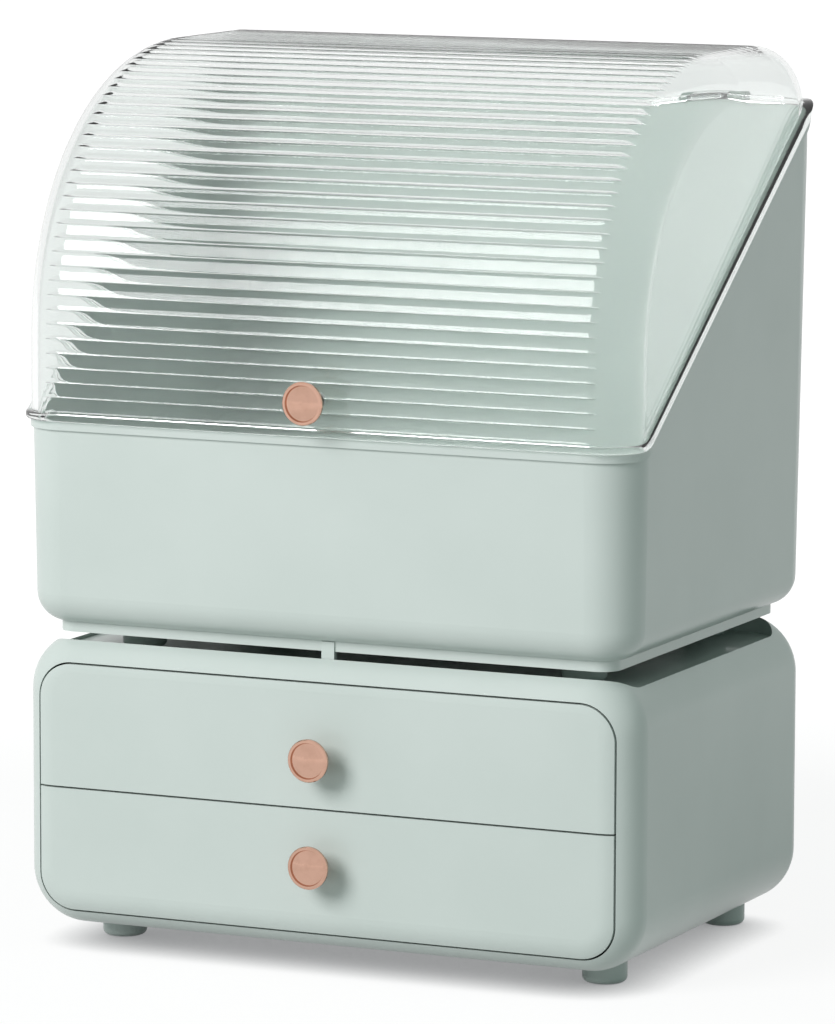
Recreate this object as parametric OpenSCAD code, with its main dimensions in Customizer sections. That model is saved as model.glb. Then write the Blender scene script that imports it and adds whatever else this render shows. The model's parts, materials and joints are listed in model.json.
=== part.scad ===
// Tabletop make-up organizer: a two-drawer base unit, an open bin that stands in a recess
// on top of it, and a clear reeded lid hinged at the back of the bin.
// X is to the right, Y to the back, Z up. The floor is Z = 0.

/* [Drawer unit] */
// Width of the drawer unit
base_w = 280; // [266:0.5:290]
// Depth of the drawer unit
base_d = 190.5; // [175:0.5:205]
// Height of the drawer unit without its feet
base_h = 124.3; // [118:0.1:132]
// Corner radius of the drawer unit seen from the front
base_corner_r = 24; // [22:0.5:26]
// Rounding of the front edges
front_round = 15.5; // [12:0.5:17]
// Rounding of the back edges
back_round = 12.5; // [8:0.5:14]
// Thickness of the base unit's walls
base_wall = 3; // [2.4:0.1:3.4]
// Width of the frame left and right of the drawer fronts
side_border = 8.1; // [7:0.1:9.5]
// Height of the frame under the lower drawer front
bottom_border = 6.3; // [5.5:0.1:8]
// Height of the frame above the upper drawer front
top_border = 11.2; // [10.5:0.1:13]
// Depth of the recess in the top
recess_depth = 8.6; // [7.6:0.1:9]
// Distance from the outline to the edge of the recess
recess_inset = 7; // [6:0.1:9]
// Corner radius of the recess seen from above
recess_r = 17; // [10:0.5:22]

/* [Drawers] */
// Line of shadow around and between the drawer fronts
reveal = 0.8; // [0.5:0.1:1.2]
// Thickness of a drawer front at its middle
drawer_front_t = 6.5; // [5.5:0.1:8]
// Wall thickness of a drawer tray
tray_wall = 2; // [1.6:0.1:2.6]
// Rounding of a tray's upright corners
tray_r = 6; // [4:0.5:9]
// Clearance between a tray and what guides it
run_gap = 0.4; // [0.3:0.1:0.8]
// Space behind a closed tray
tray_back_gap = 4; // [2:0.5:10]
// Thickness of the shelf between the drawers
shelf_t = 2.4; // [2:0.1:3]
// Thickness of the back panel
panel_t = 2.4; // [2:0.1:3]

/* [Bin] */
// Width of the bin at its front rim
bin_w = 278; // [270:0.2:286]
// Distance from the drawer unit's front to the bin's front, forwards
bin_ahead = 3.5; // [2:0.1:5]
// Distance from the drawer unit's back to the bin's back, backwards
bin_behind = 10.2; // [4:0.1:14]
// Upright corner radius of the bin at its front rim
bin_r = 20; // [16:0.5:24]
// Draft angle of the bin's walls
bin_draft = 0.9; // [0.4:0.1:1.2]
// Wall thickness of the bin
bin_wall = 2.8; // [2.2:0.1:3.2]
// Height of the bin's flat underside above the recess floor
bin_clearance = 9.2; // [8.6:0.1:12]
// Height of the plinth under the bin
plinth_h = 4; // [3:0.5:6]
// Distance from the bin's wall inwards to the plinth
plinth_inset = 10.5; // [8:0.5:12]
// Rounding of the bin's lower edge
bin_bottom_r = 13; // [11:0.5:14]
// Height of the rim at the front, above the bin's underside
rim_front_h = 90.2; // [80:0.2:105]
// Height of the rim at the back, above the bin's underside
rim_back_h = 217.3; // [205:0.1:230]
// Slope of the side rims
rim_slope = 35.5; // [33:0.5:40]
// Level length of the side rim behind the front wall
rim_level = 15; // [10:1:22]
// Bend radius of the side rim, seen from the side
rim_bend_r = 14; // [8:1:20]
// How far the bead under the rim stands out
bead_out = 1.2; // [0.8:0.1:2]
// Height of the bead
bead_h = 3.5; // [2.5:0.1:5]

/* [Lid] */
// Front-quarter radius of the lid
lid_arc_r = 120; // [110:1:128]
// Height of the lid's top above the front rim
lid_h = 153.8; // [146:0.2:160]
// Rounding over the back edge
lid_back_r = 28; // [24:1:32]
// Rounding along both side edges
lid_edge_r = 20; // [16:0.5:22]
// Wall thickness of the lid
lid_wall = 2.6; // [2.2:0.1:3]
// How far the lid's front stands ahead of the bin's front
lid_ahead = 1.8; // [1:0.1:3]
// Spacing of the reeds
reed_pitch = 6.14; // [5:0.02:8]
// Depth of the valleys between the reeds
reed_depth = 0.9; // [0.5:0.1:1.2]
// Width of the flat strip between the reeds and the rounding at each side
reed_margin = 0.5; // [0.5:0.5:8]
// How far the lid's flange stands out
flange_out = 2.4; // [1.8:0.1:3.5]
// Thickness of the flange
flange_t = 3; // [2:0.1:4]
// Gap between the closed lid and the rim
lid_gap = 0.3; // [0.2:0.05:0.5]

/* [Hinges] */
// Distance between the two hinges, middle to middle
hinge_span = 176; // [120:2:200]
// Radius of a hinge pin
pin_r = 2; // [1.5:0.1:2.5]
// Running clearance between a pin and the lid's knuckle
pin_gap = 0.05; // [0.02:0.01:0.1]
// Radius of the knuckles
knuckle_r = 4.5; // [4:0.1:5]
// Width of the lid's knuckle
knuckle_w = 16; // [12:1:24]
// Width of each of the bin's two knuckles
ear_w = 5.6; // [4:0.2:8]
// Gap between neighbouring knuckles
knuckle_gap = 0.4; // [0.3:0.1:0.8]

/* [Knobs and feet] */
// Radius of a knob's head
knob_r = 9; // [8:0.1:10]
// Distance from the surface to the front of the knob's rim
knob_reach = 12.4; // [11:0.1:15]
// Radius of a knob's stem
stem_r = 2.7; // [2.4:0.1:3.2]
// Radius of a knob screw
screw_r = 1.6; // [1.4:0.1:1.8]
// Distance from the line between the drawers to each knob
knob_from_split = 22.4; // [15:0.1:30]
// Height of the lid's knob above the front rim
lid_knob_h = 15.4; // [12:0.1:30]
// Radius of a foot
foot_r = 9.4; // [8:0.1:11]
// Height of a foot
foot_h = 9.8; // [8:0.1:12]
// Rounding of a foot's lower edge
foot_round = 2.6; // [1.5:0.1:3.5]
// Distance from the drawer unit's side to the middle of a foot
foot_from_side = 28.7; // [24:0.1:40]
// Distance from the drawer unit's side to the middle of a foot of the bin, which stands in the recess
bin_foot_from_side = 38.7; // [34:0.1:50]
// Distance from the base unit's front to its front feet
foot_from_front = 40; // [24:0.5:50]
// Distance from the base unit's back to its back feet
foot_from_back = 20; // [18:0.5:40]

/* [Hidden] */
$fn = 64;
mint = [0.76, 0.82, 0.79];
mint_dark = [0.68, 0.76, 0.72];
clear = [0.86, 0.91, 0.89, 0.45];
rose_gold = [0.82, 0.58, 0.46];
steel = [0.62, 0.63, 0.64];
far = 400;
eps = 0.01;

// The origin lies on the floor under the middle of the whole object
rim_rise = rim_back_h - rim_front_h;
flare = tan(bin_draft);
back_flare = rim_rise * flare;
knuckle_clear = 0.9;
lid_back_in = 0.5;
knob_dome = 1.2;
reach_front = base_d / 2 + bin_ahead + lid_ahead + knob_reach + knob_dome;
hinge_back = base_d / 2 + bin_behind - lid_back_in + back_flare + flange_out + knuckle_clear + knuckle_r;
reach_back = hinge_back + knuckle_r;
base_mid_y = (reach_front - reach_back) / 2;

// Drawer unit
front_y = base_mid_y - base_d / 2;
back_y = base_mid_y + base_d / 2;
base_z0 = foot_h;
base_z1 = base_z0 + base_h;
base_mid_z = (base_z0 + base_z1) / 2;
open_hw = base_w / 2 - side_border;
open_z0 = base_z0 + bottom_border;
open_z1 = base_z1 - top_border;
open_r = base_corner_r - side_border;
split_z = (open_z0 + open_z1) / 2;
recess_z = base_z1 - recess_depth;
cavity_z1 = open_z1 - 0.4;
cavity_z0 = base_z0 + base_wall;
panel_inset = 12;
panel_ledge = 4;
panel_gap = 0.3;
cavity_y0 = front_y + front_round * 0.72;
cavity_y1 = back_y - back_round * 0.7;

// Drawers
front_back_y = front_y + drawer_front_t;
tray_inset = reveal + 0.8;
tray_hw = open_hw - tray_inset;
tray_y1 = cavity_y1 - tray_back_gap;
shelf_z1 = split_z + 0.2;
shelf_z0 = shelf_z1 - shelf_t;
ledge_h = 5;
lower_tray_z0 = open_z0 + tray_inset;
lower_tray_z1 = shelf_z0 - 3;
upper_tray_z0 = shelf_z1 + run_gap;
upper_tray_z1 = open_z1 - open_r;
shelf_hw = base_w / 2 - base_wall - run_gap;
guide_hw = tray_hw + run_gap;
guide_h = 6;
guide_z = base_z0 + base_corner_r + 3;

// Bin
bin_z0 = recess_z + bin_clearance;
bin_body_z = bin_z0 + plinth_h;
rim_front_z = bin_z0 + rim_front_h;
rim_back_z = bin_z0 + rim_back_h;
bin_front_y = front_y - bin_ahead;
bin_back_y = back_y + bin_behind;
bin_mid_y = (bin_front_y + bin_back_y) / 2;
bin_a = bin_w / 2 - bin_r;
bin_b = (bin_back_y - bin_front_y) / 2 - bin_r;
rim_bend_y0 = bin_front_y + rim_level;
rim_bend_y1 = rim_bend_y0 + rim_rise / tan(rim_slope);
bend_run = rim_bend_r * tan(rim_slope / 2);

// Lid
lid_hw = bin_w / 2;
lid_front_y = bin_front_y - lid_ahead;
lid_back_y = bin_back_y - lid_back_in;
lid_top_z = rim_front_z + lid_h;
lid_arc_y = lid_front_y + lid_arc_r;
lid_arc_z = lid_top_z - lid_arc_r;
lid_low_z = rim_front_z - 20;
reed_hw = lid_hw - lid_edge_r - reed_margin;
reed_end_y = lid_back_y - lid_back_r;
reed_z0 = rim_front_z + lid_gap + flange_t + 0.8;
reed_cut_z = reed_z0 - 0.4;
reed_run_front = lid_arc_z - reed_z0;
reed_run_arc = lid_arc_r * PI / 2;
reed_count = floor((reed_run_front + reed_run_arc + reed_end_y - lid_arc_y) / reed_pitch);
reed_steps = [0, 0.08, 0.25, 0.5, 0.75, 0.92];
reed_sink = 0.12;

// Hinges
hinge_y = base_mid_y + hinge_back;
hinge_z = rim_back_z;
ear_x = knuckle_w / 2 + knuckle_gap;
pin_half = ear_x + ear_w;
pin_seat_gap = 0.02;

// Knobs
knob_rim_t = 2;
knob_ring_w = 1.4;
knob_dish = 0.5;
knob_bore_l = 6.5;
upper_knob_z = split_z + knob_from_split;
lower_knob_z = split_z - knob_from_split;
lid_knob_z = rim_front_z + lid_knob_h;
tray_front_y1 = front_back_y + tray_wall;

// A rectangle with round corners, centred on the origin
module round_rect(w, h, r) {
    difference() {
        square([w, h], center = true);
        for (sx = [-1, 1], sy = [-1, 1])
            translate([sx * (w / 2 - r), sy * (h / 2 - r)])
                difference() {
                    translate([sx > 0 ? 0 : -r - 1, sy > 0 ? 0 : -r - 1]) square(r + 1);
                    circle(r);
                }
    }
}

// The block that a flat profile sweeps out round a rectangle of 2a by 2b.
// The profile's first axis points outwards, its second is the height from z0 to z1.
module swept_block(a, b, z0, z1) {
    corners = [[a, b], [-a, b], [-a, -b], [a, -b]];
    for (q = [0:3])
        translate([corners[q][0], corners[q][1], 0])
            rotate([0, 0, 90 * q]) rotate_extrude(angle = 90) children();
    for (q = [0:3])
        rotate([0, 0, 90 * q])
            translate([q % 2 == 0 ? a : b, q % 2 == 0 ? b : a, 0])
                rotate([90, 0, 0]) linear_extrude(q % 2 == 0 ? 2 * b : 2 * a) children();
    translate([-a, -b, z0]) cube([2 * a, 2 * b, z1 - z0]);
}

// The waste outside a rounded outer corner that points right and down
module corner_waste(r) {
    difference() {
        translate([0, -r - 1]) square(r + 1);
        circle(r);
    }
}

// The drawer unit's outer form: every edge of the front and the back is rounded
module pillow() {
    r = base_corner_r;
    translate([0, front_y, base_mid_z]) rotate([-90, 0, 0])
        swept_block(base_w / 2 - r, base_h / 2 - r, 0, base_d)
            difference() {
                square([r, base_d]);
                translate([r - front_round, front_round]) corner_waste(front_round);
                translate([r - back_round, base_d - back_round]) mirror([0, 1]) corner_waste(back_round);
            }
}

// A prism along Y from y0 to y1 over a flat shape drawn in X and Z
module along_y(y0, y1) {
    translate([0, y1, 0]) rotate([90, 0, 0]) linear_extrude(y1 - y0) children();
}

// A prism along X, centred, over a flat shape drawn in Y and Z
module along_x(w) {
    rotate([90, 0, 90]) linear_extrude(w, center = true) children();
}

module base_outline(inset) {
    translate([0, base_mid_z]) round_rect(base_w - 2 * inset, base_h - 2 * inset, base_corner_r - inset);
}

// The opening for the drawers: its frame is higher above than below, to make room for the recess
module opening_outline(inset) {
    translate([0, split_z])
        round_rect(2 * (open_hw - inset), open_z1 - open_z0 - 2 * inset, open_r - inset);
}

module base_shell() color(mint) {
    difference() {
        pillow();
        along_y(front_y - 1, cavity_y0 + eps) opening_outline(0);
        along_y(cavity_y0, cavity_y1)
            intersection() {
                base_outline(base_wall);
                translate([-far, cavity_z0]) square([2 * far, cavity_z1 - cavity_z0]);
            }
        along_y(cavity_y1 - eps, back_y + 1) base_outline(panel_inset + panel_ledge);
        along_y(back_y - panel_t, back_y + 1) base_outline(panel_inset);
        translate([0, base_mid_y, recess_z])
            linear_extrude(recess_depth + 1)
                round_rect(base_w - 2 * recess_inset, base_d - 2 * recess_inset, recess_r);
    }
    floor_rails();
    shelf_ledges();
    foot_seats();
}

// Round seats on the underside, so that each foot's whole top bears where the corners curve up
module foot_seats() {
    for (sx = [-1, 1], y = [foot_y0, foot_y1])
        translate([sx * foot_x, y, base_z0]) cylinder(r = foot_r, h = base_wall - 0.5);
}

// Rails on the floor of the shell: they carry the lower drawer and keep it square
module floor_rails() {
    rail_w = 8;
    for (sx = [-1, 1]) {
        translate([sx * (tray_hw - 3 * rail_w) - rail_w / 2, cavity_y0 - 0.5, cavity_z0 - 0.5])
            cube([rail_w, cavity_y1 - cavity_y0 + 1, lower_tray_z0 - run_gap - cavity_z0 + 0.5]);
        side_block(sx, guide_z, guide_h);
    }
}

// A block from the shell's side wall inwards to the side of a tray, where that wall is straight
module side_block(sx, z, h) {
    w = base_w / 2 - base_wall - guide_hw + 0.5;
    translate([sx > 0 ? guide_hw : -guide_hw - w, cavity_y0 - 0.5, z])
        cube([w, cavity_y1 - cavity_y0 + 1, h]);
}

module shelf_ledges() {
    for (sx = [-1, 1]) side_block(sx, shelf_z0 - ledge_h, ledge_h);
}

module back_panel() color(mint_dark) {
    along_y(back_y - panel_t, back_y) base_outline(panel_inset + panel_gap);
}

// The shelf between the drawers, with upturned sides that guide the upper one
module drawer_shelf() color(mint_dark) {
    translate([-shelf_hw, cavity_y0 + run_gap, shelf_z0])
        cube([2 * shelf_hw, cavity_y1 - cavity_y0 - 2 * run_gap, shelf_t]);
    for (sx = [-1, 1])
        translate([sx > 0 ? guide_hw : -shelf_hw, cavity_y0 + run_gap, shelf_z0])
            cube([shelf_hw - guide_hw, cavity_y1 - cavity_y0 - 2 * run_gap, shelf_t + guide_h]);
}

// A tray's filled form: it keeps inside the opening's round corners, so that it slides out
module tray_form(z0, z1, inset) {
    intersection() {
        translate([0, (front_back_y + tray_y1) / 2, z0])
            linear_extrude(z1 - z0)
                round_rect(2 * (tray_hw - inset), tray_y1 - front_back_y - 2 * inset, tray_r - inset);
        along_y(front_back_y - 1, tray_y1 + 1) opening_outline(tray_inset + inset);
    }
}

// An open tray with a hole for its knob's screw
module tray(z0, z1, knob_z) {
    difference() {
        tray_form(z0, z1, 0);
        tray_form(z0 + tray_wall, z1 + 1, tray_wall);
        screw_hole(knob_z);
    }
}

module screw_hole(knob_z) {
    translate([0, front_y - 1, knob_z]) rotate([-90, 0, 0]) cylinder(r = screw_r + 0.2, h = 30);
}

// The part of the drawer unit's outer form that a drawer front covers
module drawer_front(z0, z1, knob_z) {
    difference() {
        intersection() {
            pillow();
            along_y(front_y - 1, front_back_y)
                intersection() {
                    opening_outline(reveal);
                    translate([-far, z0]) square([2 * far, z1 - z0]);
                }
        }
        screw_hole(knob_z);
    }
}

// A turned knob along +Z, standing on Z = 0
module knob() {
    face = knob_reach;
    difference() {
        rotate_extrude() polygon([
            [0, 0], [stem_r + 0.9, 0], [stem_r + 0.9, 0.9], [stem_r, 1.8], [stem_r, face - 5],
            [knob_r * 0.72, face - knob_rim_t - 0.9], [knob_r - 0.4, face - knob_rim_t],
            [knob_r, face - knob_rim_t + 0.4], [knob_r, face - 0.5], [knob_r - 0.4, face],
            [knob_r - knob_ring_w, face], [knob_r - knob_ring_w - 0.2, face - knob_dish],
            for (t = [1:6]) let (f = 1 - t / 6)
                [(knob_r - knob_ring_w - 0.2) * f, face - knob_dish + (knob_dome + knob_dish) * (1 - f * f)]
        ]);
        translate([0, 0, -1]) cylinder(r = screw_r + 0.05, h = knob_bore_l + 1);
    }
}

// A pan-head screw along +Z: its head's underside is at Z = 0
module knob_screw(length) {
    head_h = 2.2;
    cylinder(r = screw_r, h = length);
    difference() {
        translate([0, 0, -head_h]) cylinder(r = 3.4, h = head_h);
        for (q = [0, 90]) rotate([0, 0, q]) translate([-2, -0.45, -head_h - 1]) cube([4, 0.9, 2.1]);
    }
}

// Puts a piece made along +Z onto a surface at y, pointing forwards
module facing_front(y, z) {
    translate([0, y, z]) rotate([90, 0, 0]) children();
}

drawer_screw_l = tray_wall + drawer_front_t + knob_bore_l - 0.5;
lid_screw_l = lid_wall + knob_bore_l - 0.5;

module upper_drawer_tray() color(mint_dark) tray(upper_tray_z0, upper_tray_z1, upper_knob_z);
module lower_drawer_tray() color(mint_dark) tray(lower_tray_z0, lower_tray_z1, lower_knob_z);
module upper_drawer_front() color(mint) drawer_front(split_z + reveal / 2, base_z1, upper_knob_z);
module lower_drawer_front() color(mint) drawer_front(base_z0, split_z - reveal / 2, lower_knob_z);
module upper_drawer_knob() color(rose_gold) facing_front(front_y, upper_knob_z) knob();
module lower_drawer_knob() color(rose_gold) facing_front(front_y, lower_knob_z) knob();
module upper_drawer_knob_screw() color(steel)
    facing_front(tray_front_y1, upper_knob_z) knob_screw(drawer_screw_l);
module lower_drawer_knob_screw() color(steel)
    facing_front(tray_front_y1, lower_knob_z) knob_screw(drawer_screw_l);
module lid_knob() color(rose_gold) facing_front(lid_front_y, lid_knob_z) knob();
module lid_knob_screw() color(steel) facing_front(lid_front_y + lid_wall, lid_knob_z) knob_screw(lid_screw_l);

// A foot standing on z, of height h
module foot(x, y, z, h) {
    translate([x, y, z]) rotate_extrude() difference() {
        square([foot_r, h]);
        translate([foot_r - foot_round, foot_round]) corner_waste(foot_round);
    }
}

foot_x = base_w / 2 - foot_from_side;
foot_y0 = front_y + foot_from_front;
foot_y1 = back_y - foot_from_back;
bin_foot_x = base_w / 2 - bin_foot_from_side;
bin_foot_h = bin_clearance + plinth_h;
module foot_front_left() color(mint_dark) foot(-foot_x, foot_y0, 0, foot_h);
module foot_front_right() color(mint_dark) foot(foot_x, foot_y0, 0, foot_h);
module foot_back_left() color(mint_dark) foot(-foot_x, foot_y1, 0, foot_h);
module foot_back_right() color(mint_dark) foot(foot_x, foot_y1, 0, foot_h);
module bin_foot_front_left() color(mint_dark) foot(-bin_foot_x, foot_y0, recess_z, bin_foot_h);
module bin_foot_front_right() color(mint_dark) foot(bin_foot_x, foot_y0, recess_z, bin_foot_h);
module bin_foot_back_left() color(mint_dark) foot(-bin_foot_x, foot_y1, recess_z, bin_foot_h);
module bin_foot_back_right() color(mint_dark) foot(bin_foot_x, foot_y1, recess_z, bin_foot_h);

// The rim seen from the side, moved square to itself by d: level, bent up, sloping, bent level
function rim_path(d) = [
    [-far, rim_front_z + d],
    for (t = [0:6]) let (a = rim_slope * t / 6)
        [rim_bend_y0 - bend_run + (rim_bend_r - d) * sin(a), rim_front_z + rim_bend_r - (rim_bend_r - d) * cos(a)],
    for (t = [0:6]) let (a = rim_slope * (1 - t / 6))
        [rim_bend_y1 + bend_run - (rim_bend_r + d) * sin(a), rim_back_z - rim_bend_r + (rim_bend_r + d) * cos(a)],
    [far, rim_back_z + d]
];
function backwards(list) = [for (i = [len(list) - 1:-1:0]) list[i]];
module rim_band(d0, d1) polygon(concat(rim_path(d0), backwards(rim_path(d1))));
module below_rim(d) polygon(concat(rim_path(d), [[far, -far], [-far, -far]]));

// Distance from the bin's corner centres out to its wall at height z
function bin_wall_r(z) = bin_r + (z - rim_front_z) * flare;

// The bin's wall with its rounded lower edge, seen in section; inset moves it inwards.
// The rounding ends where it is tangent to the drafted wall.
module bin_section(inset, z1) {
    r = bin_bottom_r - inset;
    z0 = bin_body_z + inset;
    cz = z0 + r;
    cx = bin_wall_r(cz) - inset - r / cos(bin_draft);
    reach = r + 1;
    difference() {
        polygon([[0, z0], [bin_wall_r(z0) - inset, z0], [bin_wall_r(z1) - inset, z1], [0, z1]]);
        translate([cx, cz]) difference() {
            polygon([[0, 0], [0, -reach], [reach, -reach], [reach * cos(bin_draft), -reach * sin(bin_draft)]]);
            circle(r);
        }
    }
}

module at_bin() translate([0, bin_mid_y, 0]) children();

module bin_cavity() {
    at_bin() swept_block(bin_a, bin_b, bin_body_z + bin_wall, rim_back_z + 40)
        bin_section(bin_wall, rim_back_z + 40);
}

module bin_body() {
    top = rim_back_z + 1;
    intersection() {
        at_bin() swept_block(bin_a, bin_b, bin_body_z, top) bin_section(0, top);
        along_x(2 * far) below_rim(0);
    }
}

module bin_bead() {
    z0 = rim_front_z - 20;
    z1 = rim_back_z + 1;
    intersection() {
        at_bin() swept_block(bin_a, bin_b, z0, z1)
            polygon([[0, z0], [bin_wall_r(z0) + bead_out, z0], [bin_wall_r(z1) + bead_out, z1], [0, z1]]);
        along_x(2 * far) rim_band(-bead_h, 0);
    }
}

module plinth() {
    r = bin_wall_r(bin_body_z + bin_bottom_r) - plinth_inset;
    at_bin() translate([0, 0, bin_z0]) difference() {
        linear_extrude(plinth_h + bin_wall / 2) round_rect(2 * (bin_a + r), 2 * (bin_b + r), r);
        translate([0, 0, -1]) linear_extrude(plinth_h + 1)
            round_rect(2 * (bin_a + r - bin_wall), 2 * (bin_b + r - bin_wall), r - bin_wall);
    }
}

// A tab at the middle of the front, which drops behind the front ridge of the drawer unit
module locating_tab() {
    tab_w = 5.8;
    tab_gap = 0.4;
    y0 = front_y + recess_inset + tab_gap;
    translate([-tab_w / 2, y0, recess_z + 1])
        cube([tab_w, 2.6, bin_body_z - recess_z - 1 + eps]);
}

// One of the bin's knuckles with the gusset that joins it to the back wall
module ear(x) {
    wall_y = bin_back_y + back_flare;
    translate([x, 0, 0]) {
        along_x(ear_w) polygon([
            [wall_y - bin_wall / 2, hinge_z - 20], [wall_y + 0.5, hinge_z - 20],
            [hinge_y + knuckle_r * 0.6, hinge_z - knuckle_r * 0.8],
            [hinge_y, hinge_z - 1], [wall_y - bin_wall / 2, hinge_z - 1]]);
        translate([0, hinge_y, hinge_z]) rotate([0, 90, 0]) cylinder(r = knuckle_r, h = ear_w, center = true);
    }
}

module at_hinges() {
    for (sx = [-1, 1]) translate([sx * hinge_span / 2, 0, 0]) children();
}

module hinge_bore(r) {
    translate([0, hinge_y, hinge_z]) rotate([0, 90, 0]) cylinder(r = r, h = 2 * pin_half + 2, center = true);
}

module bin() color(mint) {
    difference() {
        union() {
            bin_body();
            bin_bead();
            plinth();
            locating_tab();
            at_hinges() for (sx = [-1, 1]) ear(sx * (ear_x + ear_w / 2));
        }
        bin_cavity();
        at_hinges() hinge_bore(pin_r + pin_seat_gap);
    }
}

module hinge_pin(x) {
    translate([x, hinge_y, hinge_z]) rotate([0, 90, 0]) cylinder(r = pin_r, h = 2 * pin_half, center = true);
}
module hinge_pin_left() color(steel) hinge_pin(-hinge_span / 2);
module hinge_pin_right() color(steel) hinge_pin(hinge_span / 2);

// The lid's cross section square to its profile: outwards along the first axis, both side edges round
module lid_section(r, hw, edge) {
    difference() {
        translate([0, -hw]) square([r, 2 * hw]);
        translate([r - edge, -hw + edge]) corner_waste(edge);
        translate([r - edge, hw - edge]) mirror([0, 1]) corner_waste(edge);
    }
}

// The lid's whole form, filled; inset moves every face inwards
module lid_form(inset) {
    hw = lid_hw - inset;
    edge = lid_edge_r - inset;
    front = lid_front_y + inset;
    back = lid_back_y - inset;
    back_r = lid_back_r - inset;
    back_arc_z = lid_top_z - lid_back_r;
    arc_r = lid_arc_r - inset;
    translate([0, lid_arc_y, lid_arc_z]) rotate([0, -90, 180])
        rotate_extrude(angle = 90) lid_section(arc_r, hw, edge);
    translate([0, lid_arc_y, lid_low_z]) rotate([0, 0, -90])
        linear_extrude(lid_arc_z - lid_low_z) lid_section(arc_r, hw, edge);
    translate([0, reed_end_y, back_arc_z]) rotate([0, -90, 0])
        rotate_extrude(angle = 90) lid_section(back_r, hw, edge);
    translate([0, lid_arc_y, lid_low_z]) rotate([0, 0, 90])
        linear_extrude(back_arc_z - lid_low_z) lid_section(back - lid_arc_y, hw, edge);
    translate([0, reed_end_y, back_arc_z]) rotate([0, -90, 90])
        linear_extrude(reed_end_y - lid_arc_y) lid_section(back_r, hw, edge);
}

// A point on the lid's front, arc or top at a run s from the first reed, moved outwards by d
function lid_point(s, d) =
    s < reed_run_front ? [lid_front_y - d, reed_z0 + s]
    : s < reed_run_front + reed_run_arc
        ? let (a = (s - reed_run_front) / lid_arc_r * 180 / PI)
            [lid_arc_y - (lid_arc_r + d) * cos(a), lid_arc_z + (lid_arc_r + d) * sin(a)]
        : [lid_arc_y + s - reed_run_front - reed_run_arc, lid_top_z + d];

// The reeded wall seen from the side. Each reed is half round: its crest lies just below the
// smooth strips beside it, its valleys deeper.
module reeded_wall() {
    inner_r = lid_arc_r - lid_wall;
    difference() {
        polygon([
            [lid_front_y, reed_cut_z],
            for (i = [0:reed_count - 1], u = reed_steps)
                lid_point((i + u) * reed_pitch, -reed_sink - reed_depth * (1 - sqrt(1 - pow(2 * u - 1, 2)))),
            lid_point(reed_count * reed_pitch, 0),
            [reed_end_y, lid_top_z], [reed_end_y, reed_cut_z]
        ]);
        translate([lid_front_y + lid_wall, reed_cut_z - 1]) square([inner_r, lid_arc_z - reed_cut_z + 1]);
        translate([lid_arc_y, reed_cut_z - 1])
            square([reed_end_y - lid_arc_y + 1, lid_top_z - lid_wall - reed_cut_z + 1]);
        intersection() {
            translate([lid_arc_y, lid_arc_z]) circle(inner_r, $fn = 128);
            translate([lid_arc_y - inner_r, lid_arc_z]) square(inner_r);
        }
    }
}

module lid_flange() {
    a = lid_hw - lid_edge_r;
    b = (lid_back_y - lid_front_y) / 2 - lid_edge_r;
    z0 = rim_front_z - 12;
    z1 = rim_back_z + 10;
    r = lid_edge_r + flange_out;
    intersection() {
        translate([0, (lid_back_y + lid_front_y) / 2, 0]) swept_block(a, b, z0, z1)
            polygon([[0, z0], [r + (z0 - rim_front_z) * flare, z0], [r + (z1 - rim_front_z) * flare, z1], [0, z1]]);
        along_x(2 * far) rim_band(lid_gap - 5, lid_gap + flange_t);
    }
}

// The lid without its reeds: a smooth shell with its flange, cut off along the rim
module smooth_shell() {
    difference() {
        union() {
            lid_form(0);
            lid_flange();
        }
        lid_form(lid_wall);
        along_x(2 * far) below_rim(lid_gap);
    }
}

module lid_knuckle() {
    z0 = rim_back_z + lid_gap;
    translate([-knuckle_w / 2, lid_back_y - lid_wall / 2, z0])
        cube([knuckle_w, hinge_y - lid_back_y + lid_wall / 2, flange_t]);
    translate([0, hinge_y, hinge_z]) rotate([0, 90, 0]) cylinder(r = knuckle_r, h = knuckle_w, center = true);
}

module lid() color(clear) {
    difference() {
        union() {
            difference() {
                smooth_shell();
                translate([-reed_hw, lid_front_y - 10, reed_cut_z])
                    cube([2 * reed_hw, reed_end_y - lid_front_y + 10, lid_h + 40]);
            }
            along_x(2 * reed_hw) reeded_wall();
            at_hinges() lid_knuckle();
            facing_front(lid_front_y + lid_wall, lid_knob_z) cylinder(r = 5, h = lid_wall);
        }
        at_hinges() hinge_bore(pin_r + pin_gap);
        facing_front(lid_front_y + lid_wall + 1, lid_knob_z) cylinder(r = screw_r + 0.2, h = lid_wall + 2);
    }
}

base_shell();
back_panel();
drawer_shelf();
upper_drawer_tray();
upper_drawer_front();
upper_drawer_knob();
upper_drawer_knob_screw();
lower_drawer_tray();
lower_drawer_front();
lower_drawer_knob();
lower_drawer_knob_screw();
foot_front_left();
foot_front_right();
foot_back_left();
foot_back_right();
bin();
bin_foot_front_left();
bin_foot_front_right();
bin_foot_back_left();
bin_foot_back_right();
hinge_pin_left();
hinge_pin_right();
lid();
lid_knob();
lid_knob_screw();
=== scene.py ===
# %% [markdown]
# # A make-up organizer with a clear reeded lid
#
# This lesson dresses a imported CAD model. The drawer unit, the bin, the knobs and the feet stay
# as the CAD made them and get materials. The lid is built again as one closed surface, because
# half-round reeds in clear plastic need smooth curves to bend light as the real ones do.
# All lengths are in metres.

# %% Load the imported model
import json
import math

import bpy
import numpy as np
from mathutils import Matrix, Vector


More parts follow.
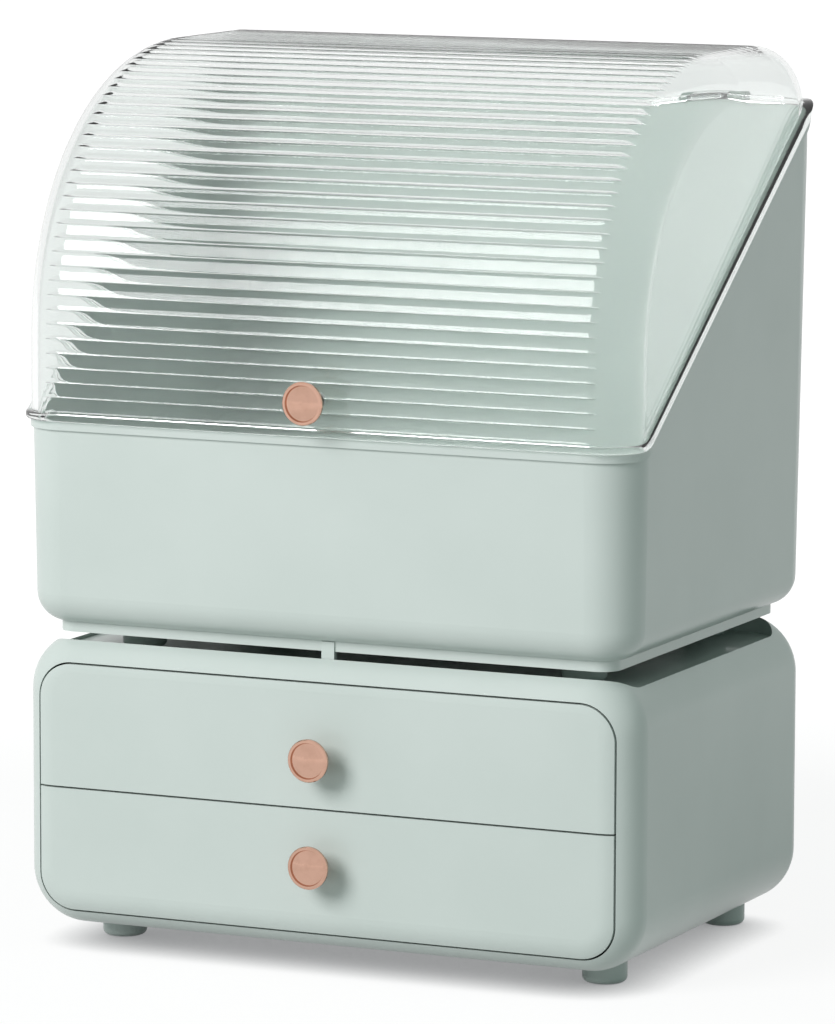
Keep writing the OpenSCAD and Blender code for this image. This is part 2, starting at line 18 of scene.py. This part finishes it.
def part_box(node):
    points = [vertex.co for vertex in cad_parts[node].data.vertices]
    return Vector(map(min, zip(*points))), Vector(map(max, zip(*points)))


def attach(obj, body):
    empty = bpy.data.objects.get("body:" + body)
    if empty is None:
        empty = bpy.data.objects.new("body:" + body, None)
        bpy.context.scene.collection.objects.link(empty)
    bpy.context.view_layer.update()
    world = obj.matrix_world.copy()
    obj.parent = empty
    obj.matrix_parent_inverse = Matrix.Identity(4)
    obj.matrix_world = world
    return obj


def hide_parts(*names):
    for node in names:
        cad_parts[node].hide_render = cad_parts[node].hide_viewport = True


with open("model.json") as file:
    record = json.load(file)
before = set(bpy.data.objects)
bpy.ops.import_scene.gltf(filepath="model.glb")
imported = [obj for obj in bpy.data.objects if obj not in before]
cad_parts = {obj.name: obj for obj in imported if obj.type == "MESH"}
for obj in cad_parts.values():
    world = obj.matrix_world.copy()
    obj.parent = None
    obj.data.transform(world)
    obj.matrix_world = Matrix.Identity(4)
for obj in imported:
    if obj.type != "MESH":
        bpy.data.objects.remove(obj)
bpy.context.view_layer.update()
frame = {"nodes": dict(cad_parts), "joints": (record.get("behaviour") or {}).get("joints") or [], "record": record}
nodes = frame["nodes"]

# %% [markdown]
# ## Camera
# The camera was fitted to the straight edges of the photograph. It stands far away with a long
# lens, to the right of the front and a little above. The three rows are its right, up and
# backward directions.

# %% Camera
data = bpy.data.cameras.new("camera")
data.sensor_width = 36.0
data.lens = 218.797
data.clip_start, data.clip_end = 0.1, 50.0
camera = bpy.data.objects.new("camera", data)
bpy.context.scene.collection.objects.link(camera)
axes = Matrix(((0.90881, 0.4172, 0.00289), (-0.06063, 0.1252, 0.99028), (0.41279, -0.90015, 0.13907)))
camera.matrix_world = Matrix.Translation((1.09017, -2.37922, 0.54894)) @ axes.transposed().to_4x4()
bpy.context.scene.camera = camera
bpy.context.scene.view_settings.view_transform = "Standard"
print("camera at", [round(v, 3) for v in camera.location])

# %% [markdown]
# ## A small language for materials
# `Val` wraps an output socket, so that node trees read like arithmetic. `Tree.node` makes any
# other node. `Mat` is a material's tree and knows a place on the surface. A value that is the
# same all over a surface is set on the shader's own socket.


# %% Sockets as values
class Val:
    """An output socket that can be added and multiplied."""

    def __init__(self, tree, socket):
        self.tree, self.socket = tree, socket

    def math(self, operation, other):
        return self.tree.node("ShaderNodeMath", 0, self, other, operation=operation)

    def __add__(self, other):
        return self.math("ADD", other)

    def __mul__(self, other):
        return self.math("MULTIPLY", other)

    def clamp(self, low, high):
        """The value moved from low..high to 0..1 and kept inside."""
        return self.tree.node("ShaderNodeMapRange", 0, self, low, high, 0.0, 1.0, clamp=True)


class Tree:
    """The node tree of a material or a world, with one method for every kind of node."""

    def __init__(self, owner):
        owner.use_nodes = True
        self.data, self.tree = owner, owner.node_tree
        self.tree.nodes.clear()

    def node(self, kind, out, *values, named=(), **settings):
        """Makes a node, sets its properties and inputs, and returns one output as a Val."""
        made = self.tree.nodes.new(kind)
        for key, value in settings.items():
            setattr(made, key, value)
        for key, value in [*enumerate(values), *dict(named).items()]:
            if isinstance(value, Val):
                self.tree.links.new(value.socket, made.inputs[key])
            elif value is not None:
                made.inputs[key].default_value = value
        return Val(self, made.outputs[out])

    def ray(self, kind):
        """What the light path says about the ray that arrives."""
        return self.node("ShaderNodeLightPath", kind)

    def seen(self):
        """1 for rays from the camera, from reflections and through clear things, otherwise 0."""
        mirrored = self.ray("Is Camera Ray").math("MAXIMUM", self.ray("Is Glossy Ray"))
        return mirrored.math("MAXIMUM", self.ray("Is Transmission Ray"))

    def surface(self, shader, kind="ShaderNodeOutputMaterial"):
        """Joins the shader to the tree's output and returns the material or world."""
        out = self.tree.nodes.new(kind)
        self.tree.links.new(shader.socket, out.inputs["Surface"])
        return self.data


class Mat(Tree):
    """A material with noise, mixed colours and bumps."""

    def __init__(self, name):
        super().__init__(bpy.data.materials.new(name))
        self.place = self.node("ShaderNodeTexCoord", "Object")

    def noise(self, scale, detail=2.0, stretch=(1, 1, 1)):
        """Noise from 0 to 1 with so many cells a metre, stretched along the axes."""
        where = self.node("ShaderNodeMapping", 0, self.place, named={"Scale": stretch})
        sockets = {"Vector": where, "Scale": scale, "Detail": detail}
        return self.node("ShaderNodeTexNoise", "Fac", named=sockets)

    def mix(self, share, first, second):
        """Two colours mixed by a share."""
        made = self.tree.nodes.new("ShaderNodeMix")
        made.data_type = "RGBA"
        self.tree.links.new(share.socket, made.inputs["Factor"])
        for key, colour in (("A", first), ("B", second)):
            socket = [s for s in made.inputs if s.name == key and s.type == "RGBA"][0]
            if isinstance(colour, Val):
                self.tree.links.new(colour.socket, socket)
            else:
                socket.default_value = (*colour, 1)
        return Val(self, [s for s in made.outputs if s.type == "RGBA"][0])

    def bump(self, height, strength, distance):
        """A normal bent by a height, which stands for so much distance."""
        sockets = {"Strength": strength, "Distance": distance, "Height": height}
        return self.node("ShaderNodeBump", 0, named=sockets)


# %% [markdown]
# ## Plastics
# Moulded plastic is never quite even: its colour clouds a little, its gloss varies with the
# mould's polish, and a glossy face shows a faint ripple, as an orange's peel does.


# %% Moulded plastic
def plastic(name, light, dark, gloss, ripple, coat):
    """Moulded plastic: two close colours, a roughness that drifts and a fine ripple."""
    mat = Mat(name)
    cloud = mat.noise(14.0, 3.0).clamp(0.35, 0.65)
    colour = mat.mix(cloud, light, dark)
    rough = mat.noise(60.0, 2.0) * 0.06 + (gloss - 0.03)
    skin = mat.noise(420.0, 1.0) * 0.7 + mat.noise(2600.0, 2.0) * 0.3
    shader = mat.node("ShaderNodeBsdfPrincipled", 0, named={
        "Base Color": colour, "Roughness": rough, "IOR": 1.5,
        "Coat Weight": coat, "Coat Roughness": 0.06, "Normal": mat.bump(skin, ripple, 0.0002)})
    return mat.surface(shader)


case = plastic("case_plastic", (0.575, 0.636, 0.608), (0.548, 0.611, 0.582), 0.34, 0.16, 0.2)
inner = plastic("inner_plastic", (0.520, 0.590, 0.560), (0.490, 0.563, 0.532), 0.42, 0.25, 0.0)
feet = plastic("foot_plastic", (0.560, 0.625, 0.600), (0.520, 0.590, 0.562), 0.38, 0.30, 0.0)
print("plastics:", case.name, inner.name, feet.name)

# %% [markdown]
# ## Metals
# The knobs are turned and plated: fine rings round their axis, which lies along Y, catch the
# light. The screws and pins are plain zinc-plated steel.


# %% Plated metal
def metal(name, colour, tarnish, gloss, rings):
    """Polished metal with turning rings, seen as a tiny change of roughness and height."""
    mat = Mat(name)
    wear = mat.noise(180.0, 4.0).clamp(0.45, 0.8)
    shade = mat.mix(wear * 0.35, colour, tarnish)
    lines = mat.noise(900.0, 1.0, (1, 9, 1))
    rough = lines * 0.05 + wear * 0.05 + (gloss - 0.04)
    shader = mat.node("ShaderNodeBsdfPrincipled", 0, named={
        "Base Color": shade, "Metallic": 1.0, "Roughness": rough,
        "Normal": mat.bump(lines, rings, 0.00005)})
    return mat.surface(shader)


rose_gold = metal("rose_gold", (0.60, 0.37, 0.28), (0.40, 0.23, 0.16), 0.12, 0.06)
steel = metal("zinc_steel", (0.60, 0.61, 0.62), (0.42, 0.43, 0.44), 0.32, 0.30)
print("metals:", rose_gold.name, steel.name)

# %% [markdown]
# ## Clear plastic
# The lid is real thickness of clear plastic, so its shader only says how light bends and that
# it is faintly green. Light on its way to a lamp goes straight through, weakened a little, or
# the bin would be dark.


# %% Clear plastic
def clear_plastic(name):
    """Clear moulded plastic with faint flow marks."""
    mat = Mat(name)
    flow = mat.noise(9.0, 3.0, (1, 1, 0.35))
    haze = mat.noise(240.0, 3.0).clamp(0.55, 0.9)
    shader = mat.node("ShaderNodeBsdfPrincipled", 0, named={
        "Base Color": mat.mix(flow, (0.895, 0.915, 0.907), (0.875, 0.90, 0.89)),
        "Roughness": haze * 0.03 + 0.012, "IOR": 1.49, "Transmission Weight": 1.0,
        "Normal": mat.bump(flow, 0.05, 0.0006)})
    through = mat.node("ShaderNodeBsdfTransparent", 0, (0.55, 0.59, 0.57, 1))
    return mat.surface(mat.node("ShaderNodeMixShader", 0, mat.ray("Is Shadow Ray"), shader, through))


clear = clear_plastic("clear_plastic")

# %% [markdown]
# ## The reeded lid
# Seen from the side, the lid's plate stands upright at the front, follows a quarter circle to
# the level top, and goes over the back in a smaller arc. Across it, both side edges are quarter
# circles too. The reeds are half-round ridges cut into that form: where the side rounding lies
# deeper than a valley, the valley runs out, so each reed ends in a point. A flange follows the
# lower edge, which is level, bends up into a slope and bends back to level. Two knuckles, each
# on a small plate, run on the hinge pins.

# %% Sizes of the lid
# Plate: half width, side rounding, wall, front arc and back arc.
HALF, EDGE, WALL, ARC, BACK_R = 0.139, 0.020, 0.0026, 0.120, 0.028
# Flange: gap to the bin's rim, thickness, reach, rounded edge, and the lean of the bin's walls.
GAP, FLANGE_T, FLANGE_OUT, ROUND = 0.0003, 0.003, 0.0024, 0.0006
FLANGE_D, DRAFT = GAP + FLANGE_T, math.tan(math.radians(0.9))
# Rim: its slope, the radius of its bends and its level length at the front.
SLOPE, BEND, LEVEL = math.radians(35.5), 0.014, 0.0168
# Reeds: pitch, depth, where the first starts, and points across one.
PITCH, DEPTH, REED_START, SAMPLES = 0.00614, 0.0009, 0.0008, 12
# Knuckles: distance from the middle, half length, radius and radius of the bore.
KNUCKLE_X, KNUCKLE_HALF, KNUCKLE_R, KNUCKLE_BORE = 0.088, 0.008, 0.0045, 0.00205
# How far the hinge's axis lies behind the flange, and how far the knuckles' plates stop short of it.
HINGE_BEHIND, PLATE_SHORT = 0.0054, 0.003

hinge = [joint for joint in frame["joints"] if joint["name"] == "lid_hinge"][0]
HINGE_Y, RIM_BACK = hinge["pos_m"][1], hinge["pos_m"][2]
FRONT, TOP, RIM_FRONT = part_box("lid_knob")[1].y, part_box("lid")[1].z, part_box("lid")[0].z - GAP
BACK = HINGE_Y - HINGE_BEHIND - FLANGE_OUT - (RIM_BACK - RIM_FRONT) * DRAFT
ARC_Y, ARC_Z, TURN_Y, TURN_Z = FRONT + ARC, TOP - ARC, BACK - BACK_R, TOP - BACK_R
LOW = RIM_FRONT + GAP + FLANGE_T
RUN_UP, RUN_ARC, RUN_TOP = ARC_Z - LOW, ARC * math.pi / 2, TURN_Y - ARC_Y
RUN = RUN_UP + RUN_ARC + RUN_TOP
REEDS = int((RUN - REED_START) / PITCH)
print("reeds:", REEDS, "lid from", round(FRONT, 4), "to", round(BACK, 4))


# %% The rim and the plate
def rim_height(y, d):
    """Height of the rim at y, moved square to itself by d.

    From the front: level, an arc up, a slope, an arc back, level.
    """
    turn = np.linspace(0, SLOPE, 33)
    run = BEND * math.tan(SLOPE / 2)
    low_y = FRONT + LEVEL - run
    high_y = FRONT + LEVEL + (RIM_BACK - RIM_FRONT) / math.tan(SLOPE) + run
    ys = np.concatenate([low_y + (BEND - d) * np.sin(turn), high_y - (BEND + d) * np.sin(turn[::-1])])
    zs = np.concatenate([RIM_FRONT + BEND - (BEND - d) * np.cos(turn),
                         RIM_BACK - BEND + (BEND + d) * np.cos(turn[::-1])])
    return np.interp(y, ys, zs)


# The columns across the lid lie close together where the reeds run out on the side rounding.
bends = np.radians(np.concatenate([np.linspace(0, 20, 25), np.linspace(25, 90, 14)]))
flat = np.linspace(-1, 1, 9)[1:-1]
ACROSS = np.concatenate([-bends[::-1], 0 * flat, bends])
MIDDLE = np.concatenate([-np.ones(len(bends)), flat, np.ones(len(bends))])


def plate(inset, d, runs, groove):
    """One side of the lid's plate as a grid of points, rows along the profile, columns across it.

    Across: x goes straight, then round a quarter circle, where the surface drops by
    r (1 - cos angle). Along: the point lies as far inside the profile as the larger of that
    drop and the groove. The last rows follow the back arc, and a straight fall after it, until
    they meet the rim, which is searched for in small steps.
    """
    fall, search, back_rows = 0.02, np.linspace(0, 1.6, 1601), 25
    r = EDGE - inset
    x = MIDDLE * (HALF - EDGE) + r * np.sin(ACROSS)
    drop = r * (1 - np.cos(ACROSS))
    depth = inset + np.maximum(drop[None, :], groove[:, None])
    s = runs[:, None] + 0 * depth
    start = rim_height(FRONT + inset + drop, d)[None, :]
    turn = np.clip((s - RUN_UP) / ARC, 0, math.pi / 2)
    along = np.clip(s - RUN_UP - RUN_ARC, 0, None)
    y = ARC_Y - (ARC - depth) * np.cos(turn) + along
    z = np.where(s < RUN_UP, start + s * (ARC_Z - start) / RUN_UP, ARC_Z + (ARC - depth) * np.sin(turn))
    radius = (BACK_R - inset - drop)[None, :]

    def over_the_back(share):
        """Points at a share of the back arc, 0 at its top, and past 1 on the fall."""
        angle = np.clip(math.pi / 2 * (1 - share), 0, None)
        down = np.clip(share - 1, 0, None) * fall
        return TURN_Y + radius * np.cos(angle), TURN_Z + radius * np.sin(angle) - down

    yb, zb = over_the_back(search[:, None])
    stop = search[np.argmax(zb <= rim_height(yb, d), axis=0)][None, :]
    yb, zb = over_the_back(np.linspace(0, 1, back_rows)[1:, None] * stop)
    zb[-1] = rim_height(yb[-1], d)
    y, z = np.concatenate([y, yb]), np.concatenate([z, zb])
    return np.stack([np.broadcast_to(x, y.shape), y, z], axis=-1)


def side_line(grid, column, inset, d, count=110):
    """Points along the rim on one side, between the plate's two corners."""
    y = np.linspace(grid[0, column, 1], grid[-1, column, 1], count + 2)[1:-1]
    x = np.full(count, (HALF - inset) * (1 if column else -1))
    return np.stack([x, y, rim_height(y, d)], axis=-1)


print("columns:", len(ACROSS))


# %% Shells
def grid_quads(index, flip):
    """Quads between neighbouring rows and columns of an index grid."""
    corners = [index[:-1, :-1], index[:-1, 1:], index[1:, 1:], index[1:, :-1]]
    quads = np.stack(corners, axis=-1).reshape(-1, 4)
    return quads[:, ::-1] if flip else quads


def ring_shell(loop, steps=64):
    """A closed ring: a flat loop of (radius, along) turned once about the first axis."""
    radius, along = np.array(loop).T
    turn = np.linspace(0, 2 * math.pi, steps, endpoint=False)[:, None]
    points = np.stack([along + 0 * turn, radius * np.cos(turn), radius * np.sin(turn)], axis=-1)
    row, j = np.arange(steps)[:, None] * len(loop), np.arange(len(loop))[None, :]
    next_row, next_j = (row + len(loop)) % (steps * len(loop)), (j + 1) % len(loop)
    quads = np.stack([row + j, row + next_j, next_row + next_j, next_row + j], axis=-1)
    return points.reshape(-1, 3), [tuple(q) for q in quads.reshape(-1, 4).tolist()]


def outward(points, faces):
    """Turns all faces over where the closed shell's volume comes out negative.

    The volume is a sixth of the sum of a . (b x c) over the triangles a, b, c.
    """
    fans = np.array([(f[0], f[k], f[k + 1]) for f in faces for k in range(1, len(f) - 1)])
    a, b, c = (points[fans[:, k]] for k in range(3))
    volume = float(np.einsum("ij,ij->i", a, np.cross(b, c)).sum() / 6)
    return points, faces if volume > 0 else [f[::-1] for f in faces], abs(volume)


def build_mesh(name, shells, sharp):
    """Joins closed shells into one smooth mesh whose edges past the sharp angle stay sharp."""
    points, faces, total = [], [], 0.0
    for shell in shells:
        shell_points, shell_faces, volume = outward(*shell)
        start = sum(len(p) for p in points)
        points.append(shell_points)
        faces += [tuple(k + start for k in f) for f in shell_faces]
        total += volume
    mesh = bpy.data.meshes.new(name)
    mesh.from_pydata(np.concatenate(points).tolist(), [], faces)
    mesh.shade_smooth()
    mesh.set_sharp_from_angle(angle=math.radians(sharp))
    print(name, len(faces), "faces", round(total * 1e6, 1), "cm3")
    return mesh


# %% The lid's two skins
# In a reed the groove is DEPTH (1 - sqrt(1 - t^2)), with t from -1 to 1 across the reed, and its
# points lie closer together near the valleys.
share = (1 - np.cos(np.linspace(0, math.pi, SAMPLES + 1)[:-1])) / 2
inside = (np.arange(REEDS)[:, None] + share[None, :]).ravel()
reed_groove = DEPTH * (1 - np.sqrt(np.clip(1 - (2 * (inside % 1) - 1) ** 2, 0, 1)))
tail = np.linspace(REED_START + REEDS * PITCH, RUN, 4)
runs = np.concatenate([[0.0], REED_START + inside * PITCH, tail])
groove = np.concatenate([[DEPTH], reed_groove, [DEPTH], 0 * tail[1:]])
outer = plate(0.0, FLANGE_D, runs, groove)
upright = np.linspace(0, RUN_UP, 6)[:-1]
inner_runs = np.concatenate([upright, RUN_UP + np.linspace(0, RUN_ARC, 61), [RUN]])
inner_skin = plate(WALL, GAP, inner_runs, 0 * inner_runs)
print("outer skin:", outer.shape[:2], "inner skin:", inner_skin.shape[:2])


# %% Flange, ends and knuckles
def rim_loop(grid, inset, d):
    """The lower edge of a plate as one loop, anticlockwise from above.

    The second result is the loop's flat outward directions.
    """
    right, left = side_line(grid, -1, inset, d), side_line(grid, 0, inset, d)
    points = np.concatenate([grid[0], right, grid[-1][::-1], left[::-1]])
    front = np.stack([np.sin(ACROSS), -np.cos(ACROSS)], axis=-1)
    back = np.stack([np.sin(ACROSS), np.cos(ACROSS)], axis=-1)[::-1]
    sides = [np.tile([sign, 0.0], (len(right), 1)) for sign in (1.0, -1.0)]
    return points, np.concatenate([front, sides[0], back, sides[1]])


edge_loop, out = rim_loop(outer, 0.0, FLANGE_D)


def flange_ring(short, d, lift):
    """A ring of the flange: so much short of its full width, at d from the rim, lifted a little."""
    ring = edge_loop.copy()
    ring[:, :2] += out * (FLANGE_OUT - short + (ring[:, 2:] - RIM_FRONT) * DRAFT)
    ring[:, 2] = rim_height(ring[:, 1], d) + lift
    return ring


def skin_points(grid, inset, d):
    """A skin's points in three runs: its grid, its right rim line and its left one."""
    return [grid.reshape(-1, 3), side_line(grid, -1, inset, d), side_line(grid, 0, inset, d)]


rings = [flange_ring(ROUND, FLANGE_D, 0), flange_ring(0.0, FLANGE_D, -ROUND),
         flange_ring(0.0, GAP, ROUND), flange_ring(ROUND, GAP, 0)]
side_count = (len(edge_loop) - 2 * len(ACROSS)) // 2
outer_points, inner_points = skin_points(outer, 0.0, FLANGE_D), skin_points(inner_skin, WALL, GAP)
parts = [*outer_points, *rings, *inner_points]
starts = np.cumsum([0] + [len(p) for p in parts])
first_ring, first_inner = len(outer_points), len(outer_points) + len(rings)


def skin_index(grid, first):
    """Index grid, the two side lines and the closed loop of one skin."""
    index = starts[first] + np.arange(grid.shape[0] * grid.shape[1]).reshape(grid.shape[:2])
    right = starts[first + 1] + np.arange(side_count)
    left = starts[first + 2] + np.arange(side_count)
    return index, right, left, np.concatenate([index[0], right, index[-1][::-1], left[::-1]])


outer_index, outer_right, outer_left, outer_loop = skin_index(outer, 0)
inner_index, inner_right, inner_left, inner_loop = skin_index(inner_skin, first_inner)
ring_loops = [starts[first_ring + k] + np.arange(len(edge_loop)) for k in range(len(rings))]
loops = [outer_loop, *ring_loops, inner_loop]
belt = np.stack([np.append(loop, loop[0]) for loop in loops], axis=1)
skins = [grid_quads(outer_index, False), grid_quads(inner_index, True)]
quads = np.concatenate([*skins, grid_quads(belt, False)])
walls = [[*index[0:1, column], *line, *index[::-1, column][:-1]]
         for index, line, column in ((outer_index, outer_right, -1), (outer_index, outer_left, 0),
                                     (inner_index, inner_right, -1), (inner_index, inner_left, 0))]
walls = [walls[0], walls[1][::-1], walls[2][::-1], walls[3]]
faces = [tuple(quad) for quad in quads.tolist()] + [tuple(int(k) for k in wall) for wall in walls]
shell = (np.concatenate(parts), faces)


def knuckle(side):
    """A ring round the hinge pin and the small plate that carries it, at x = side."""
    half, top, rim, bore = KNUCKLE_HALF, RIM_BACK + GAP + FLANGE_T, KNUCKLE_R, KNUCKLE_BORE
    points, faces = ring_shell([(rim, -half), (rim, half), (bore, half), (bore, -half)])
    x, y, z = (side - half, side + half), (BACK, HINGE_Y - PLATE_SHORT), (RIM_BACK + GAP, top)
    corners = np.array([(a, b, c) for a in x for b in y for c in z])
    box = [(0, 1, 3, 2), (4, 6, 7, 5), (0, 4, 5, 1), (2, 3, 7, 6), (0, 2, 6, 4), (1, 5, 7, 3)]
    return [(points + np.array([side, HINGE_Y, RIM_BACK]), faces), (corners, box)]


knuckles = knuckle(-KNUCKLE_X) + knuckle(KNUCKLE_X)
print("shells:", 1 + len(knuckles))

# %% Build the lid
lid =bpy.data.objects.new("clear_reeded_lid", build_mesh("clear_reeded_lid", [shell, *knuckles], 50))
bpy.context.scene.collection.objects.link(lid)
lid.data.materials.append(clear)
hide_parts("lid")
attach(lid, "lid_body")

# %% [markdown]
# ## Giving the CAD nodes their materials
# Each node's slot, such as case or steel, says which finish it gets.

# %% Assign
FINISH = {"case": case, "inner": inner, "feet": feet, "clear_lid": clear,
          "rose_gold": rose_gold, "steel": steel}
for part in frame["record"]["subparts"]:
    mesh = nodes[part["node"]].data
    mesh.materials.clear()
    mesh.materials.append(FINISH[part["material_slot"]])

# %% [markdown]
# ## Floor, light and background
# A wide pale floor runs into white. Near the object it carries a painted shadow. Its glow, seen by the camera, in
# reflections and through the lid, is painted darker where ambient occlusion finds the object close, and a little
# of the paper's real shadow shows through. The world lights everything evenly, looks white to the camera, in
# reflections and through the clear lid, and one large soft lamp from the front left gives the right side its
# shade.


# %% Floor
def floor_material():
    """Pale matt paper. To the eye, in reflections and through the lid it is mostly a glow as white as the
    background.
    Near the object that glow holds a painted shadow, darkened by ambient occlusion, which fades over
    painted_shadow_reach metres. A fifth of the paper's real shadow shows through it there."""
    painted_shadow_reach, middle_share = 0.032, 0.8
    mat = Mat("floor_paper")
    grain = mat.noise(700.0, 3.0)
    paper = mat.node("ShaderNodeBsdfPrincipled", 0, named={
        "Base Color": mat.mix(grain, (0.60, 0.61, 0.605), (0.57, 0.58, 0.575)), "Roughness": 0.9,
        "Specular IOR Level": 0.1, "Normal": mat.bump(grain, 0.05, 0.0003)})
    # Painted shadow: ambient occlusion near the object darkens the floor's glow, whatever the lamps do.
    near = mat.node("ShaderNodeAmbientOcclusion", "AO", named={"Distance": painted_shadow_reach}, samples=16)
    painted_shadow_mask = near.clamp(0.05, 0.62)
    # The glow's colour is painted shadow grey under the object and white in the open.
    white = mat.node("ShaderNodeEmission", 0, mat.mix(painted_shadow_mask, (0.30, 0.305, 0.31), (1, 1, 1)), 1.12)
    where = mat.node("ShaderNodeVectorMath", "Value", mat.place, operation="LENGTH")
    # Near the object, four fifths of what is seen is the glow with its painted shadow and one fifth is the paper
    # with its real shadow.
    share = where.clamp(0.4, 1.0) * (1.0 - middle_share) + middle_share
    return mat.surface(mat.node("ShaderNodeMixShader", 0, mat.seen() * share, paper, white))


REACH = 8
mesh = bpy.data.meshes.new("floor")
mesh.from_pydata([(-REACH, -REACH, 0), (REACH, -REACH, 0), (REACH, REACH, 0), (-REACH, REACH, 0)],
                 [], [(0, 1, 2, 3)])
mesh.materials.append(floor_material())
floor = bpy.data.objects.new("floor", mesh)
bpy.context.scene.collection.objects.link(floor)
print("floor reaches", REACH, "m each way")


# %% World and lamp
def sky():
    """Soft greenish light for the object, and plain white where the world itself is seen.

    A ray that a matt surface has scattered counts as light, even if it then goes through the
    lid, so the world is white only for rays that no matt surface has scattered.
    """
    world = Tree(bpy.data.worlds.new("world"))
    unscattered = world.ray("Diffuse Depth").math("LESS_THAN", 0.5)
    soft = world.node("ShaderNodeBackground", 0, (0.80, 1.0, 0.94, 1), 0.355)
    white = world.node("ShaderNodeBackground", 0, (1, 1, 1, 1), 1.0)
    chosen = world.node("ShaderNodeMixShader", 0, world.seen() * unscattered, soft, white)
    return world.surface(chosen, "ShaderNodeOutputWorld")


def lamp(name, at, towards, size, power, colour):
    """A square soft lamp that looks at a point and leaves no spot in reflections."""
    light = bpy.data.lights.new(name, "AREA")
    light.shape, light.size, light.energy = "SQUARE", size, power
    light.color = colour
    made = bpy.data.objects.new(name, light)
    bpy.context.scene.collection.objects.link(made)
    made.location = at
    made.rotation_mode = "QUATERNION"
    made.rotation_quaternion = (Vector(towards) - Vector(at)).to_track_quat("-Z", "Y")
    made.visible_glossy = False
    return made


bpy.context.scene.world = sky()
key = lamp("key", (-1.1, -2.5, 1.65), (0, 0, 0.15), 1.5, 82, (1.0, 0.965, 0.98))
print("world:", bpy.context.scene.world.name, "lamp at", [round(v, 2) for v in key.location])
